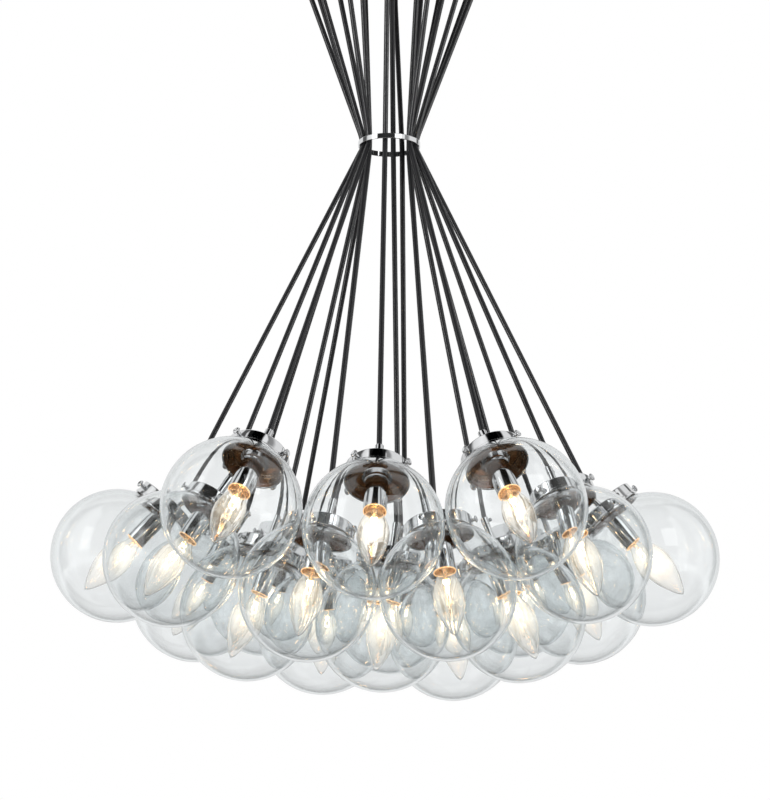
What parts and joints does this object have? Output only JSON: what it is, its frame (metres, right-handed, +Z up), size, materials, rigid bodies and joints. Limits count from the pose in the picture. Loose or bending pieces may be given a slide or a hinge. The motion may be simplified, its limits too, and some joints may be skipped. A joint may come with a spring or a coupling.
{
  "type": "multi-globe pendant chandelier",
  "caption": "Hanging light with clear glass globes on black cords that one chrome ring draws together below a round canopy.",
  "frame": {"origin": "on the ceiling, at the middle of the canopy's crossbar, straight above the ring", "axes": "+Z up, the front towards -Y, +X to the right seen from the front"},
  "size_m": [0.7486, 0.68, 0.9099],
  "materials": {
    "clear_glass": "clear blown glass",
    "polished_chrome": "polished",
    "black_cord": "satin black sheath",
    "canopy_chrome": "polished",
    "ring_chrome": "polished",
    "fittings_chrome": "polished",
    "zinc_steel": "zinc plated",
    "white_plastic": "moulded",
    "lead_sheath": "smooth sheath"
  },
  "bodies": {
    "root": {"canopy_pan": "canopy_chrome", "crossbar": "zinc_steel", "canopy_studs": "zinc_steel", "canopy_cap_nuts": "fittings_chrome", "cord_grips": "fittings_chrome", "junction_hub": "white_plastic", "hub_leads": "lead_sheath", "waist_ring": "ring_chrome", "upper_cords": "black_cord", "inner_cords": "black_cord", "globe_13": "clear_glass", "lampholder_13": "polished_chrome", "globe_14": "clear_glass", "lampholder_14": "polished_chrome", "globe_15": "clear_glass", "lampholder_15": "polished_chrome", "globe_16": "clear_glass", "lampholder_16": "polished_chrome", "globe_17": "clear_glass", "lampholder_17": "polished_chrome", "globe_18": "clear_glass", "lampholder_18": "polished_chrome", "globe_19": "clear_glass", "lampholder_19": "polished_chrome"},
    "pendant_01": {"globe_01": "clear_glass", "lampholder_01": "polished_chrome", "pendant_cord_01": "black_cord"},
    "pendant_02": {"globe_02": "clear_glass", "lampholder_02": "polished_chrome", "pendant_cord_02": "black_cord"},
    "pendant_03": {"globe_03": "clear_glass", "lampholder_03": "polished_chrome", "pendant_cord_03": "black_cord"},
    "pendant_04": {"globe_04": "clear_glass", "lampholder_04": "polished_chrome", "pendant_cord_04": "black_cord"},
    "pendant_05": {"globe_05": "clear_glass", "lampholder_05": "polished_chrome", "pendant_cord_05": "black_cord"},
    "pendant_06": {"globe_06": "clear_glass", "lampholder_06": "polished_chrome", "pendant_cord_06": "black_cord"},
    "pendant_07": {"globe_07": "clear_glass", "lampholder_07": "polished_chrome", "pendant_cord_07": "black_cord"},
    "pendant_08": {"globe_08": "clear_glass", "lampholder_08": "polished_chrome", "pendant_cord_08": "black_cord"},
    "pendant_09": {"globe_09": "clear_glass", "lampholder_09": "polished_chrome", "pendant_cord_09": "black_cord"},
    "pendant_10": {"globe_10": "clear_glass", "lampholder_10": "polished_chrome", "pendant_cord_10": "black_cord"},
    "pendant_11": {"globe_11": "clear_glass", "lampholder_11": "polished_chrome", "pendant_cord_11": "black_cord"},
    "pendant_12": {"globe_12": "clear_glass", "lampholder_12": "polished_chrome", "pendant_cord_12": "black_cord"}
  },
  "joints": [
    {"name": "pendant_01_swing", "type": "hinge", "parent": "root", "child": "pendant_01", "pos_m": [-0.00475, -0.03057, -0.2801], "axis": [-0.999, 0.0436, 0], "range_deg": [0, 10]},
    {"name": "pendant_02_swing", "type": "hinge", "parent": "root", "child": "pendant_02", "pos_m": [0.02346, -0.02154, -0.2801], "axis": [-0.887, -0.4617, 0], "range_deg": [0, 10]},
    {"name": "pendant_03_swing", "type": "hinge", "parent": "root", "child": "pendant_03", "pos_m": [0.03015, -0.00966, -0.2801], "axis": [-0.5373, -0.8434, 0], "range_deg": [0, 10]},
    {"name": "pendant_04_swing", "type": "hinge", "parent": "root", "child": "pendant_04", "pos_m": [0.03166, -0.00016, -0.2801], "axis": [-0.0436, -0.999, 0], "range_deg": [0, 10]},
    {"name": "pendant_05_swing", "type": "hinge", "parent": "root", "child": "pendant_05", "pos_m": [0.03, 0.00943, -0.2801], "axis": [0.4617, -0.887, 0], "range_deg": [0, 10]},
    {"name": "pendant_06_swing", "type": "hinge", "parent": "root", "child": "pendant_06", "pos_m": [0.02419, 0.02141, -0.2801], "axis": [0.8434, -0.5373, 0], "range_deg": [0, 10]},
    {"name": "pendant_07_swing", "type": "hinge", "parent": "root", "child": "pendant_07", "pos_m": [0.01513, 0.01479, -0.2801], "axis": [0.999, -0.0436, 0], "range_deg": [0, 10]},
    {"name": "pendant_08_swing", "type": "hinge", "parent": "root", "child": "pendant_08", "pos_m": [-0.02336, 0.02156, -0.2801], "axis": [0.887, 0.4617, 0], "range_deg": [0, 10]},
    {"name": "pendant_09_swing", "type": "hinge", "parent": "root", "child": "pendant_09", "pos_m": [-0.02968, 0.00966, -0.2801], "axis": [0.5373, 0.8434, 0], "range_deg": [0, 10]},
    {"name": "pendant_10_swing", "type": "hinge", "parent": "root", "child": "pendant_10", "pos_m": [-0.0316, 0.00016, -0.2801], "axis": [0.0436, 0.999, 0], "range_deg": [0, 10]},
    {"name": "pendant_11_swing", "type": "hinge", "parent": "root", "child": "pendant_11", "pos_m": [-0.02988, -0.00945, -0.2801], "axis": [-0.4617, 0.887, 0], "range_deg": [0, 10]},
    {"name": "pendant_12_swing", "type": "hinge", "parent": "root", "child": "pendant_12", "pos_m": [-0.02382, -0.02142, -0.2801], "axis": [-0.8434, 0.5373, 0], "range_deg": [0, 10]}
  ]
}
